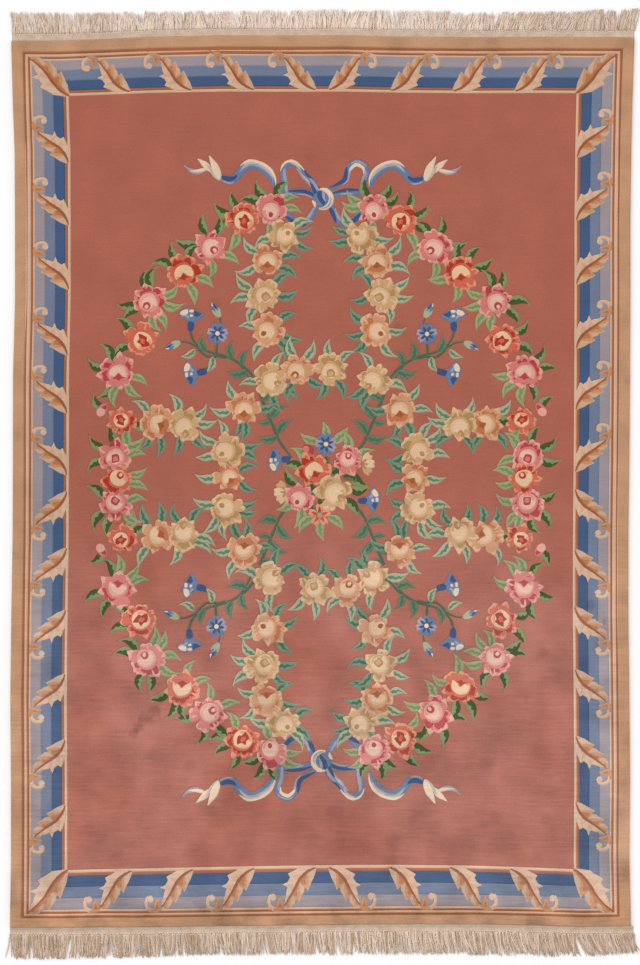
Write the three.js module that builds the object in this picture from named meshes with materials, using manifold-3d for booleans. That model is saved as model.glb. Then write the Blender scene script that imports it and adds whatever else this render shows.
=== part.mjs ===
// Pile rug with a fringed web at each end, lying flat on a floor.
// Millimetres: X runs across the rug, Y along it towards the head end, Z up from the floor.
import * as THREE from 'three';
import { mergeVertices } from 'three/addons/utils/BufferGeometryUtils.js';
import Module from 'manifold-3d';

// The pile and its foundation, woven as one flat piece
const RUG_WIDTH = 1830;
const PILE_LENGTH = 2632;
const RUG_THICKNESS = 12;
const RIM_ROUND = 3;
const RIM_STEPS = 2;

// Lines carved into the pile along the border stripes, by the distance of each from the edge
const CARVED_LINES = [
  { stripe: 'outer guard', inset: 32 },
  { stripe: 'outer shading', inset: 58 },
  { stripe: 'inner shading', inset: 150 },
  { stripe: 'field', inset: 166 },
];
const CARVE_WIDTH = 4;
const CARVE_DEPTH = 2;

// How far the long edges stray outwards from straight, from the foot end (0) to the head end (1)
const SIDE_WANDER = [
  { along: 0.00, left: 9, right: 4 },
  { along: 0.08, left: 6, right: -1 },
  { along: 0.17, left: 6, right: 1 },
  { along: 0.26, left: 8, right: -1 },
  { along: 0.35, left: 5, right: -4 },
  { along: 0.44, left: 1, right: -4 },
  { along: 0.53, left: 0, right: -1 },
  { along: 0.62, left: -3, right: 1 },
  { along: 0.71, left: -6, right: 2 },
  { along: 0.80, left: -6, right: 2 },
  { along: 0.88, left: -5, right: 5 },
  { along: 0.93, left: 0, right: 8 },
  { along: 1.00, left: 5, right: 14 },
];

// How far the short edges stray outwards from straight, from the left side (0) to the right side (1)
const END_WANDER = [
  { across: 0.00, foot: 6, head: -12 },
  { across: 0.08, foot: 7, head: -11 },
  { across: 0.15, foot: 5, head: -6 },
  { across: 0.22, foot: 5, head: 0 },
  { across: 0.34, foot: 2, head: 5 },
  { across: 0.47, foot: -1, head: 4 },
  { across: 0.53, foot: -2, head: 5 },
  { across: 0.62, foot: -4, head: 1 },
  { across: 0.74, foot: -4, head: -1 },
  { across: 0.85, foot: 0, head: 0 },
  { across: 0.92, foot: 4, head: -1 },
  { across: 1.00, foot: 2, head: -4 },
];

// The flat-woven web at each end, a hair away from the pile, and the warp strands knotted along it
const WEB_GAP = 0.3;
const WEB_WIDTH = 26;
const WEB_THICKNESS = 2.5;
const STRANDS_PER_END = 130;
const STRAND_MARGIN = 6;
const STRAND_ROOT = 5;
const LENGTH_SCATTER = 6;
const LEAN_SCATTER = 2;
const SWAY_SCATTER = 1.2;
const CORNER_SPLAY = 14;
const CORNER_SHARPNESS = 14;

// One row for each fringed end: which way it points, how long its strands are and how they lean
const FRINGED_ENDS = [
  { name: 'fringe_head', edge: 'head', outwards: 1, strandLength: 46, leanLeft: -1, leanRight: 7 },
  { name: 'fringe_foot', edge: 'foot', outwards: -1, strandLength: 54, leanLeft: -3, leanRight: 5 },
];

// The four-sided strand from its knot (0) to its tip (1)
const STRAND_SECTIONS = [
  { along: 0.00, width: 9.0, height: 5.0 },
  { along: 0.22, width: 8.5, height: 4.5 },
  { along: 0.42, width: 6.0, height: 3.5 },
  { along: 1.00, width: 4.0, height: 2.5 },
];

// Separate runs of the repeatable scatter
const LENGTH_RUN = 1;
const LEAN_RUN = 2;
const SWAY_RUN = 3;

const WOOL = { color: 0xa96656, roughness: 0.95, metalness: 0 };
const COTTON = { color: 0xd2beaf, roughness: 0.9, metalness: 0 };

const wasm = await Module();
wasm.setup();

function toSolid(geometry) {
  const bare = geometry.clone();
  bare.deleteAttribute('normal');
  bare.deleteAttribute('uv');
  const merged = mergeVertices(bare, 1e-4);
  const vertProperties = new Float32Array(merged.attributes.position.array);
  const triVerts = new Uint32Array(merged.index.array);
  return new wasm.Manifold(new wasm.Mesh({ numProp: 3, vertProperties, triVerts }));
}

function toGeometry(solid) {
  const mesh = solid.getMesh();
  const geometry = new THREE.BufferGeometry();
  geometry.setAttribute('position', new THREE.BufferAttribute(mesh.vertProperties, 3));
  geometry.setIndex(new THREE.BufferAttribute(mesh.triVerts, 1));
  geometry.computeVertexNormals();
  return geometry;
}

// A value read from a table's column, straight between its rows
function readTable(rows, placeColumn, column, place) {
  const after = rows.findIndex((row) => row[placeColumn] >= place);
  if (after <= 0) return rows[0][column];
  const from = rows[after - 1];
  const to = rows[after];
  const part = (place - from[placeColumn]) / (to[placeColumn] - from[placeColumn]);
  return THREE.MathUtils.lerp(from[column], to[column], part);
}

// A repeatable value between -1 and 1 for one numbered strand
function scatter(number, run) {
  const wave = Math.sin(number * 12.9898 + run * 78.233) * 43758.5453;
  return 2 * (wave - Math.floor(wave)) - 1;
}

// The place on the rug at a share across and along it, the given distance in from its edges
function placeOnRug(across, along, inset) {
  const left = readTable(SIDE_WANDER, 'along', 'left', along);
  const right = readTable(SIDE_WANDER, 'along', 'right', along);
  const foot = readTable(END_WANDER, 'across', 'foot', across);
  const head = readTable(END_WANDER, 'across', 'head', across);
  const x = (across - 0.5) * (RUG_WIDTH - 2 * inset) + THREE.MathUtils.lerp(-left, right, across);
  const y = (along - 0.5) * (PILE_LENGTH - 2 * inset) + THREE.MathUtils.lerp(-foot, head, along);
  return new THREE.Vector2(x, y);
}

// The rug's outline, or a line that runs round it the given distance in, as one closed loop
function loopAround(inset) {
  const foot = END_WANDER.map((row) => placeOnRug(row.across, 0, inset));
  const right = SIDE_WANDER.map((row) => placeOnRug(1, row.along, inset));
  const head = END_WANDER.map((row) => placeOnRug(row.across, 1, inset)).reverse();
  const left = SIDE_WANDER.map((row) => placeOnRug(0, row.along, inset)).reverse();
  return [foot, right, head, left].flatMap((edge) => edge.slice(0, -1));
}

function carvedLine(inset) {
  const ring = new THREE.Shape(loopAround(inset - CARVE_WIDTH / 2));
  ring.holes.push(new THREE.Path(loopAround(inset + CARVE_WIDTH / 2)));
  const cutter = new THREE.ExtrudeGeometry(ring, { depth: 2 * CARVE_DEPTH, bevelEnabled: false });
  return cutter.translate(0, 0, RUG_THICKNESS - CARVE_DEPTH);
}

function buildRug() {
  const slab = new THREE.ExtrudeGeometry(new THREE.Shape(loopAround(0)), {
    depth: RUG_THICKNESS - 2 * RIM_ROUND,
    bevelEnabled: true,
    bevelThickness: RIM_ROUND,
    bevelSize: RIM_ROUND,
    bevelOffset: -RIM_ROUND,
    bevelSegments: RIM_STEPS,
  });
  slab.translate(0, 0, RIM_ROUND);
  const cutters = CARVED_LINES.map((line) => toSolid(carvedLine(line.inset)));
  const carved = cutters.reduce((solid, cutter) => solid.subtract(cutter), toSolid(slab));
  const rug = new THREE.Mesh(toGeometry(carved), new THREE.MeshStandardMaterial(WOOL));
  rug.name = 'rug';
  return rug;
}

// The flat-woven strip along one end of the pile
function buildWeb(end) {
  const share = end.edge === 'head' ? 1 : 0;
  const pileEdge = END_WANDER.map((row) => placeOnRug(row.across, share, 0));
  const moved = (distance) => (point) => new THREE.Vector2(point.x, point.y + end.outwards * distance);
  const inner = pileEdge.map(moved(WEB_GAP));
  const outer = pileEdge.map(moved(WEB_GAP + WEB_WIDTH));
  const outline = new THREE.Shape([...inner, ...outer.reverse()]);
  return new THREE.ExtrudeGeometry(outline, { depth: WEB_THICKNESS, bevelEnabled: false });
}

// One strand, lying level on the floor from its knot in the web to its tip
function buildStrand(end, number) {
  const firstShare = STRAND_MARGIN / RUG_WIDTH;
  const across = THREE.MathUtils.lerp(firstShare, 1 - firstShare, number / (STRANDS_PER_END - 1));
  const root = placeOnRug(across, end.edge === 'head' ? 1 : 0, 0);
  const aside = 2 * across - 1;
  const splay = CORNER_SPLAY * Math.sign(aside) * Math.abs(aside) ** CORNER_SHARPNESS;
  const leaning = THREE.MathUtils.lerp(end.leanLeft, end.leanRight, across);
  const run = end.outwards * LEAN_RUN;
  const lean = leaning + splay + LEAN_SCATTER * scatter(number, run);
  const sway = SWAY_SCATTER * scatter(number, end.outwards * SWAY_RUN);
  const length = end.strandLength + LENGTH_SCATTER * scatter(number, end.outwards * LENGTH_RUN);
  const strand = new THREE.BoxGeometry(1, 1, 1, 1, STRAND_SECTIONS.length - 1, 1);
  const points = strand.attributes.position;
  for (let i = 0; i < points.count; i += 1) {
    const row = Math.round((points.getY(i) + 0.5) * (STRAND_SECTIONS.length - 1));
    const section = STRAND_SECTIONS[row];
    const drift = lean * section.along ** 2 + sway * Math.sin(Math.PI * section.along);
    const reach = WEB_GAP + WEB_WIDTH - STRAND_ROOT + (length + STRAND_ROOT) * section.along;
    const x = root.x + end.outwards * points.getX(i) * section.width + drift;
    const z = (points.getZ(i) + 0.5) * section.height;
    points.setXYZ(i, x, root.y + end.outwards * reach, z);
  }
  return strand;
}

function buildFringe(end) {
  const numbers = Array.from({ length: STRANDS_PER_END }, (_, number) => number);
  const strands = numbers.map((number) => toSolid(buildStrand(end, number)));
  const joined = strands.reduce((solid, strand) => solid.add(strand), toSolid(buildWeb(end)));
  const fringe = new THREE.Mesh(toGeometry(joined), new THREE.MeshStandardMaterial(COTTON));
  fringe.name = end.name;
  return fringe;
}

// The whole rug, moved so that the frame's origin lies on the floor under its middle
const laid = new THREE.Group();
laid.add(buildRug(), ...FRINGED_ENDS.map(buildFringe));
const middle = new THREE.Box3().setFromObject(laid).getCenter(new THREE.Vector3());
laid.position.set(-middle.x, -middle.y, 0);

const part = new THREE.Group();
part.add(laid);

export default part;
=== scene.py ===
# %% [markdown]
# A Chinese carpet with a rose wreath, lying flat and seen from above. Three things make its look: a cut
# wool pile whose pattern is a change of yarn, grooves clipped round the motifs, and a cotton fringe at
# both ends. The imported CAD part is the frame: its box and outline say where everything goes, and the
# pieces made here give it its detail.

# %% The frame
import cmath
import math
import random
from collections import namedtuple

import bmesh
import bpy
import numpy as np
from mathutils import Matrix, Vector, geometry, kdtree


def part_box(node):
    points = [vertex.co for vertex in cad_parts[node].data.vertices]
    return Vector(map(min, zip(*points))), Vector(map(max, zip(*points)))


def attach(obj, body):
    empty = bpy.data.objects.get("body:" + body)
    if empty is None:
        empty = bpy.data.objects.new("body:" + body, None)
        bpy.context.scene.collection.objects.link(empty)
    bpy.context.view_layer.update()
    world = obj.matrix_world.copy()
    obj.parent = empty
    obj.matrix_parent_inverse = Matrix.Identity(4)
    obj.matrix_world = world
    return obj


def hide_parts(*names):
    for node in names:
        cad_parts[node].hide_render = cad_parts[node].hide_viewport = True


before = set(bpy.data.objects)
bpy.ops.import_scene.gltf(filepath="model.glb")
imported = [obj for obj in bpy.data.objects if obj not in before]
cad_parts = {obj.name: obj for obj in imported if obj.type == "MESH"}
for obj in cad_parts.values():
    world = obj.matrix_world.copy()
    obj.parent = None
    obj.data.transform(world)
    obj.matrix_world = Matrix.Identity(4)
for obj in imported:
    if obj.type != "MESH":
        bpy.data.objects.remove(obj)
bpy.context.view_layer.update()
MM = 0.001
PILE_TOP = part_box("rug")[1].z / MM

# %% [markdown]
# A weaver starts with baskets of dyed wool. The colours could be typed into every motif, but here each
# yarn has a name, and its colour is written as it looks on a screen and turned into the linear light
# that Blender mixes. So the drawing code reads like a weaver's notes, and one changed entry dyes every
# motif that uses it.

# %% Yarns
YARNS = {
    "ground": "a96251", "tan": "c19472", "rust": "a66443", "ecru": "d3b094",
    "lavender": "9a8e92", "mid_blue": "6f7990", "deep_blue": "44597c",
    "leaf_cream": "d0ac90", "leaf_pale": "c8a286", "leaf_tan": "c08c66",
    "leaf_orange": "b0744e", "leaf_rust": "985838",
    "pink_pale": "deb29e", "pink_light": "da9e8e", "pink_soft": "d28c80",
    "pink": "cc7670", "pink_deep": "ac4246",
    "coral_pale": "deb892", "coral_light": "d88f70", "coral": "c8644c",
    "coral_mid": "b94b37", "red": "a6382a",
    "cream_pale": "dcb894", "cream_light": "d6b08a", "cream": "c49c70", "gold": "ac8458",
    "peach_pale": "dab694", "peach_light": "d4a884", "peach": "c8906a",
    "peach_mid": "b8704c", "peach_deep": "a05830",
    "green_dark": "465430", "green": "627044", "green_light": "808e62",
    "sage": "788858", "sage_pale": "989e74",
    "teal_dark": "4e6852", "teal": "627c62", "teal_light": "748e76", "teal_pale": "a4a88a",
    "ribbon_deep": "3e5278", "ribbon": "667a9a", "ribbon_light": "9c98a6",
    "ribbon_pale": "b8aca2", "ribbon_cream": "dec4a8",
    "back": "b9a58c", "cotton_light": "f7e4d5", "cotton_dull": "bfa389",
}


def linear(code):
    shades = [int(code[k:k + 2], 16) / 255 for k in (0, 2, 4)]
    return [s / 12.92 if s <= 0.04045 else ((s + 0.055) / 1.055) ** 2.4 for s in shades]


COLOURS = {name: linear(code) for name, code in YARNS.items()}
print(len(COLOURS), "yarns")

# %% [markdown]
# A weaver works from a drawing at full size. It could be an image, but an image blurs when the camera
# comes close, so this drawing is made of outlines, in millimetres about the middle of the carpet. A
# place is one complex number, across + along*1j. Multiplying by a unit complex number turns a shape, so
# one petal can be drawn lying down and spun round a flower. Each call of lay() puts a patch of one yarn
# over those before it, as cut paper would be laid, and a carved patch gets a clipped groove along its
# edge.

# %% Drawing tools
Patch = namedtuple("Patch", "points yarn carved")
patches = []


def ray(degrees, length=1.0):
    return cmath.rect(length, math.radians(degrees))


def pairs(*numbers):
    return [complex(a, b) for a, b in zip(numbers[::2], numbers[1::2])]


def between(a, b, c, d, t):
    return 0.5 * (2 * b + (c - a) * t + (2 * a - 5 * b + 4 * c - d) * t**2 + (3 * b - a - 3 * c + d) * t**3)


def round_off(points, cuts=2):
    """The closed smooth curve through the points."""
    around = [*points[-1:], *points, *points[:2]]
    spans = zip(around, around[1:], around[2:], around[3:])
    return [between(*span, k / cuts) for span in spans for k in range(cuts)]


def flow(points, cuts=5):
    """The open smooth curve through the points."""
    ends = [2 * points[0] - points[1], *points, 2 * points[-1] - points[-2]]
    spans = zip(ends, ends[1:], ends[2:], ends[3:])
    return [between(*span, k / cuts) for span in spans for k in range(cuts)] + [points[-1]]


def lay(points, yarn, carved=False):
    patches.append(Patch(points, yarn, carved))


def blob(place, radius, yarn, carved=False):
    lay(round_off([place + radius * ray(a) for a in range(0, 360, 60)]), yarn, carved)


def strip(line, widths, yarn, carved=False, low=-0.5, high=0.5, pointed=False):
    """A band along a line: widths are spread evenly, low and high say what share of the width it covers."""
    shares = np.linspace(0, 1, len(line))
    heading = np.gradient(np.array(line))
    across = 1j * heading / abs(heading) * np.interp(shares, np.linspace(0, 1, len(widths)), widths)
    root = low if low <= -0.5 else high if high >= 0.5 else (low + high) / 2
    fill = np.sqrt(np.sin(math.pi * shares).clip(0, 1)) if pointed else 1
    one = line + across * (root + (high - root) * fill)
    other = line + across * (root + (low - root) * fill)
    lay([*one.tolist(), *other[::-1].tolist()], yarn, carved)


MIRRORS = ((1, 1), (-1, 1), (1, -1), (-1, -1))


def mirrored(place, mirror):
    return complex(mirror[0] * place.real, mirror[1] * place.imag)


def flipped(shape, side):
    """The shape as it is for a side of 1, and the other way up for -1."""
    return [complex(p.real, side * p.imag) for p in shape]


print("drawn once and mirrored", len(MIRRORS), "ways")


# %% [markdown]
# The border is a set of plain stripes: a tan guard, thin rust and ecru lines, three shaded blues, and
# thin lines again before the terracotta field. Each stripe could be four strips with mitred ends. Boxes
# laid one inside the next give the same stripes, with their corners for free. Stray points along each
# line, and a little to either side of it, let the mesh bend with the edge and hold a groove.

# %% Border stripes
HALF_WIDTH = 915
HALF_LENGTH = 1316
RIM = 4
FIELD_INSET = 166
STRIPES = (
    (RIM, "tan"), (33, "rust"), (40.5, "ecru"), (48, "rust"), (54.5, "ecru"),
    (59.5, "lavender"), (90, "mid_blue"), (120.5, "deep_blue"),
    (150.5, "rust"), (158.5, "ecru"), (FIELD_INSET, "ground"),
)
SIDE_STEP = 12
GUARD = 3.2
strays = []


def box(inset, yarn):
    width, length = HALF_WIDTH - inset, HALF_LENGTH - inset
    loop = pairs(-width, -length, width, -length, width, length, -width, length)
    lay(loop, yarn, True)
    for a, b in zip(loop, loop[1:] + loop[:1]):
        steps = round(abs(b - a) / SIDE_STEP)
        inward = 1j * (b - a) / abs(b - a)
        for k in range(1, steps):
            strays.extend(a + (b - a) * k / steps + inward * shift for shift in (-GUARD, 0, GUARD))


for inset, yarn in STRIPES:
    box(inset, yarn)
print(len(patches), "stripes")

# %% [markdown]
# Acanthus leaves march round the border, all leaning away from the middle of their side, each with a
# small curled scroll behind it. A leaf is cream on one half and tan with orange lobes on the other.
# Drawing forty-four of them would be slow, so one is drawn, from 0 at its outer end to 1 at its tip,
# and every copy is that drawing turned, mirrored and made a little fuller or leaner. The corner leaves
# are straightened and have no scroll.

# %% Acanthus leaves
CREAM_HALF = pairs(0, 0, 0.12, 0.07, 0.25, 0.16, 0.31, 0.18, 0.26, 0.30, 0.38, 0.25, 0.48, 0.27,
                   0.50, 0.35, 0.58, 0.32, 0.68, 0.28, 0.77, 0.25, 0.95, 0.07, 1, 0)
TAN_HALF = pairs(1, 0, 0.98, -0.04, 0.84, -0.10, 0.72, -0.13, 0.57, -0.18, 0.57, -0.08, 0.48, -0.14,
                 0.38, -0.15, 0.28, -0.19, 0.29, -0.07, 0.20, -0.13, 0.10, -0.13, 0, -0.05)
RIB = pairs(0, 0, 0.2, 0.02, 0.42, 0.06, 0.59, 0.095, 0.76, 0.09, 0.9, 0.05, 1, 0)
LOBES = ((0.04, 0.0, -0.10), (0.29, 0.03, -0.15), (0.57, 0.08, -0.14))
STROKES = ((0.12, 0.04, 0.10), (0.34, 0.08, 0.22), (0.54, 0.12, 0.27))


def acanthus(base, tip, hand, rng, straighten=0.0):
    grow = rng.uniform(0.94, 1.06)

    def at(p):
        bow = straighten * math.sin(math.pi * p.real)
        return base + (tip - base) * complex(p.real, hand * (p.imag - bow) * grow)

    lay([at(p) for p in CREAM_HALF + TAN_HALF[1:]], "leaf_cream", True)
    lay([at(p) for p in TAN_HALF + RIB], "leaf_pale")
    for start, low, reach in LOBES:
        lobe = pairs(-0.02, low, 0.01, reach, 0.08, reach * 0.8, 0.15, reach * 0.45, 0.25, low + 0.02)
        vein = pairs(0.0, low, 0.04, reach * 0.5, 0.10, reach * 0.1, 0.25, low + 0.02)
        lay(round_off([at(start + p) for p in lobe]), "leaf_tan")
        lay(round_off([at(start + p) for p in vein]), "leaf_orange")
    for start, low, reach in STROKES:
        stroke = pairs(0, low, 0.0, reach, 0.06, reach * 0.8, 0.16, low + 0.02)
        lay(round_off([at(start + p) for p in stroke]), "leaf_pale")
    line = [at(p) for p in flow(RIB, 2)]
    if straighten:
        shaded = (-0.5, 0) if hand > 0 else (0, 0.5)
        strip(line, (5, 20, 24, 22, 8), "leaf_orange", False, *shaded)
    strip(line, (3, 6, 9, 8, 3), "leaf_rust")


def scroll(base, back, inward):
    def at(*numbers):
        return [base + back * p.real + inward * p.imag for p in pairs(*numbers)]

    curl = at(20, -10, 30, -8, 40, -2, 44, 9, 43, 20, 36, 26)
    strip(flow(curl), (10, 12, 11, 10, 10, 12), "leaf_cream", True)
    blob(*at(32, 22), 9, "leaf_cream")
    lay(round_off(at(-2, -4, 6, -13, 18, -16, 32, -12, 22, -5, 8, -3)), "leaf_tan", True)
    lay(round_off(at(22, -5, 3, -4, 6, 10, 11, 24, 18, 13)), "leaf_tan", True)
    lay(round_off(at(17, -2, 7, -3, 10, 8, 12, 15)), "leaf_orange")


SIDE_STARTS = {(1, 1): (15, 200, 374, 571, 763, 949), (-1, 1): (24, 210, 391, 582, 773, 960),
               (1, -1): (36, 202, 384, 572, 765, 956), (-1, -1): (30, 206, 375, 560, 756, 951)}
END_PITCHES = {1: 183, -1: 180}
END_FIRST = 64
END_LEAF = (-48, 44)
SIDE_LEAF = 95
END_INSETS = (64, 160)
SIDE_INSETS = (69, 160)
CORNER_INSETS = (54, 167)
CORNER_BOW = 0.08
rng = random.Random(7)
for mirror in MIRRORS:
    sideways, upward = mirror
    hand = -sideways * upward
    for k in range(4):
        middle = -END_FIRST - END_PITCHES[upward] * k
        base, tip = [mirrored(complex(middle + along, HALF_LENGTH - inset), mirror)
                     for along, inset in zip(END_LEAF, END_INSETS)]
        scroll(base, -sideways, -1j * upward)
        acanthus(base, tip, hand, rng)
    for start in SIDE_STARTS[mirror]:
        base, tip = [mirrored(complex(inset - HALF_WIDTH, start + along), mirror)
                     for along, inset in zip((SIDE_LEAF, 0), SIDE_INSETS)]
        scroll(base, 1j * upward, sideways)
        acanthus(base, tip, -hand, rng)
    base, tip = [mirrored(complex(inset - HALF_WIDTH, HALF_LENGTH - inset), mirror)
                 for inset in CORNER_INSETS]
    acanthus(base, tip, hand, rng, CORNER_BOW)
print(len(patches), "patches with the border")

# %% [markdown]
# A blue ribbon is tied in a bow at each end of the wreath, with waving tails that end in cream forks.
# It could be a folded strip of mesh, but on a carpet a ribbon is only yarn, so it is a band along a
# smooth line. Its turning shows as stretches of paler and deeper blue, which are narrower bands on the
# same line. The tails mirror each other, and the lower bow is the upper one turned half round.

# %% Ribbons
BREADTH = 1.18


def ribbon(route, widths, tones, mirror):
    line = [mirrored(place, mirror) for place in flow(route, 6)]
    widths = [BREADTH * width for width in widths]
    stops = np.linspace(0, 1, len(widths))
    strip(line, widths, "ribbon", True)
    for start, end, low, high, yarn in tones:
        first, last = round(start * (len(line) - 1)), round(end * (len(line) - 1))
        shares = np.linspace(first, last, 7) / (len(line) - 1)
        edges = (low, high) if mirror[0] * mirror[1] > 0 else (-high, -low)
        strip(line[first:last + 1], np.interp(shares, stops, widths), yarn, False, *edges, True)


LOBE = pairs(0, 0.2, 0.25, 0.46, 0.55, 0.44, 0.82, 0.2, 1, 0, 0.8, -0.24, 0.5, -0.5, 0.2, -0.44,
             0, -0.2)
Fork = namedtuple("Fork", "base tip width bend yarn")
FORKS = [Fork(*row) for row in (
    (-344+919j, -413+936j, 15, 0.2, "ribbon_light"),
    (-344+922j, -394+916j, 11, 0.06, "ribbon_cream"),
    (-332+915j, -372+952j, 19, -0.05, "ribbon_cream"),
    (-305+888j, -342+936j, 15, 0.04, "ribbon_pale"),
    (-305+891j, -337+962j, 23, -0.02, "ribbon_cream"),
)]


def lobe(base, tip, width, bend, yarn, mirror, carved=True):
    """A pointed lobe from base to tip, bowed sideways by a share of its length."""
    axis = tip - base
    shape = [complex(p.real, 4 * bend * p.real * (1 - p.real) + p.imag * width / abs(axis)) for p in LOBE]
    lay(round_off([mirrored(base + axis * p, mirror) for p in shape]), yarn, carved)


def tail(mirror):
    ribbon([-141+865j, -150+897j, -169+919j, -196+933j, -220+933j, -243+913j, -258+894j, -276+888j,
            -294+893j, -307+897j], (5, 21, 26, 22, 26, 19, 19, 20, 18, 12),
           ((0, 0.52, -0.5, -0.12, "ribbon_cream"), (0.06, 0.58, -0.2, 0.14, "ribbon_light"),
            (0.1, 0.34, -0.2, 0, "ribbon_pale"), (0.34, 0.54, -0.24, -0.02, "ribbon_pale"),
            (0.62, 1, -0.42, 0.2, "ribbon_deep"), (0.7, 0.92, 0.3, 0.5, "ribbon_light")), mirror)
    for fork in FORKS:
        lobe(*fork, mirror)


KNOT = -2+832j


def knot(mirror):
    """The round middle of a bow, with a cream turn of ribbon wrapped round one side."""
    blob(mirrored(KNOT, mirror), 26, "ribbon", True)
    lobe(KNOT + 24 * ray(110), KNOT + 22 * ray(-70), 24, 0.05, "ribbon_deep", mirror, False)
    lobe(KNOT + 24 * ray(80), KNOT + 16 * ray(-40), 9, -0.05, "ribbon_light", mirror, False)
    lobe(KNOT + 28 * ray(190), KNOT + 32 * ray(-125), 10, 0.1, "ribbon_cream", mirror)
    wrap = [mirrored(KNOT + 29 * ray(angle), mirror) for angle in range(105, -126, -21)]
    strip(wrap, (4, 13, 15, 15, 14, 5), "ribbon_cream", True)
    strip(wrap[4:11], (6, 6), "ribbon_light", pointed=True)


def bow(mirror):
    ribbon([-13+832j, -33+845j, -60+853j, -107+854j], (12, 15, 15, 14),
           ((0, 1, -0.4, 0.2, "ribbon_deep"), (0.15, 0.85, 0.25, 0.5, "ribbon_light")), mirror)
    ribbon([29+841j, 61+851j, 85+853j, 120+850j], (14, 18, 18, 16),
           ((0, 0.95, 0, 0.5, "ribbon_deep"), (0.2, 0.8, -0.4, -0.1, "ribbon_light")), mirror)
    ribbon([-19+808j, -34+780j, -50+763j, -66+758j, -90+772j, -116+797j],
           (14, 18, 15, 14, 16, 18),
           ((0, 0.5, -0.45, 0, "ribbon_light"), (0.4, 0.95, -0.2, 0.5, "ribbon_deep")), mirror)
    ribbon([23+817j, 35+789j, 48+767j, 70+758j, 94+770j, 117+794j], (14, 18, 17, 14, 16, 18),
           ((0, 0.4, -0.5, 0.1, "ribbon_deep"), (0.1, 0.6, 0.1, 0.5, "ribbon_light"),
            (0.5, 1, -0.4, 0.3, "ribbon_deep")), mirror)
    ribbon([17+859j, 46+873j, 68+889j, 74+911j, 84+929j, 103+939j,
            126+927j, 130+905j, 122+880j, 121+844j], (9, 12, 16, 15, 17, 18, 17, 16, 16, 18),
           ((0, 0.4, -0.25, 0.5, "ribbon_deep"), (0.3, 0.78, -0.5, 0, "ribbon_cream"),
            (0.14, 0.4, -0.5, -0.25, "ribbon_light"), (0.7, 1, -0.45, 0.15, "ribbon_light"),
            (0.46, 0.68, 0.1, 0.35, "ribbon_light")), mirror)
    ribbon([-109+838j, -113+885j, -116+909j, -112+928j, -97+939j, -82+936j, -67+922j,
            -51+900j, -38+888j, -25+871j, -12+845j, -4+817j],
           (20, 18, 15, 16, 17, 15, 15, 18, 18, 19, 24, 16),
           ((0, 0.26, -0.45, 0.1, "ribbon_light"), (0.2, 0.6, 0.1, 0.5, "ribbon_cream"),
            (0.36, 0.58, -0.2, 0.12, "ribbon_pale"), (0.52, 0.82, -0.5, -0.05, "ribbon_light"),
            (0.6, 0.76, -0.32, -0.12, "ribbon_pale"), (0.58, 0.74, 0.15, 0.5, "ribbon_deep"),
            (0.7, 0.92, 0, 0.35, "ribbon_light"), (0.76, 1, -0.42, -0.02, "ribbon_deep"),
            (0.84, 1, 0.25, 0.5, "ribbon_deep")), mirror)
    knot(mirror)


for mirror in MIRRORS:
    tail(mirror)
for mirror in ((1, 1), (-1, -1)):
    bow(mirror)
print(len(patches), "patches with the ribbons")

# %% [markdown]
# Leaves come in two kinds. Those with the darkest green are split, one half dark and one half light,
# with a ragged midline. The others have a darker streak down the middle. They could be drawn one by
# one. Here both kinds are one outline bent along its length, and a seeded random hand makes no two
# alike, as a weaver's leaves would be.

# %% Leaves
LEAF_STEPS = (0, 0.1, 0.25, 0.4, 0.55, 0.7, 0.82, 0.92, 1)
LEAF_HALVES = (0, 0.30, 0.46, 0.5, 0.45, 0.32, 0.19, 0.09, 0)
STREAK = pairs(0.02, 0.10, 0.20, 0.50, 0.30, 0.24, 0.42, 0.52, 0.52, 0.2, 0.64, 0.4, 0.84, 0.1,
               0.66, -0.1, 0.54, -0.4, 0.42, -0.16, 0.26, -0.5, 0.02, -0.10)
MIDLINE = pairs(0.86, 0.3, 0.70, -0.1, 0.60, 0.2, 0.48, -0.24, 0.38, 0.1, 0.26, -0.34, 0.10, -0.3)


def leaf(base, tip, width, bend, light, dark, rng):
    axis = tip - base
    side = rng.choice((1, -1))
    flick = math.copysign(rng.uniform(0.4, 0.9), bend)

    def at(t, share):
        half = float(np.interp(t, LEAF_STEPS, LEAF_HALVES)) * width / abs(axis)
        swing = 0.5 * bend * math.sin(math.pi * t) - flick * max(0, t - 0.5)**2
        return base + axis * complex(t, swing + share * half)

    lay([at(t, 1) for t in LEAF_STEPS] + [at(t, -1) for t in LEAF_STEPS[-2:0:-1]], light, True)
    if dark == "green_dark":
        edge = [at(t, side) for t in LEAF_STEPS[:7]]
        lay(edge + [at(p.real, p.imag * side) for p in MIDLINE], dark)
    else:
        lay([at(p.real, p.imag * side) for p in STREAK], dark)


print("a leaf has an outline of", 2 * len(LEAF_STEPS) - 2, "points")


# %% [markdown]
# A rose is a ring of six or seven petals round a bowl. Each petal is a light shape with a blush inside
# it, and some have a deep wedge or crescent near the bowl. The bowl is shaded in three tones towards
# the side the flower faces, and its heart is one of six kinds. Every rose could be a drawing of its
# own, but one function with four sets of dyes gives the pink and red ones of the wreath and the cream
# and peach ones of the lattice. Its random hand changes the petals' number, order and edges, so that
# they differ as hand work does.

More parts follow.
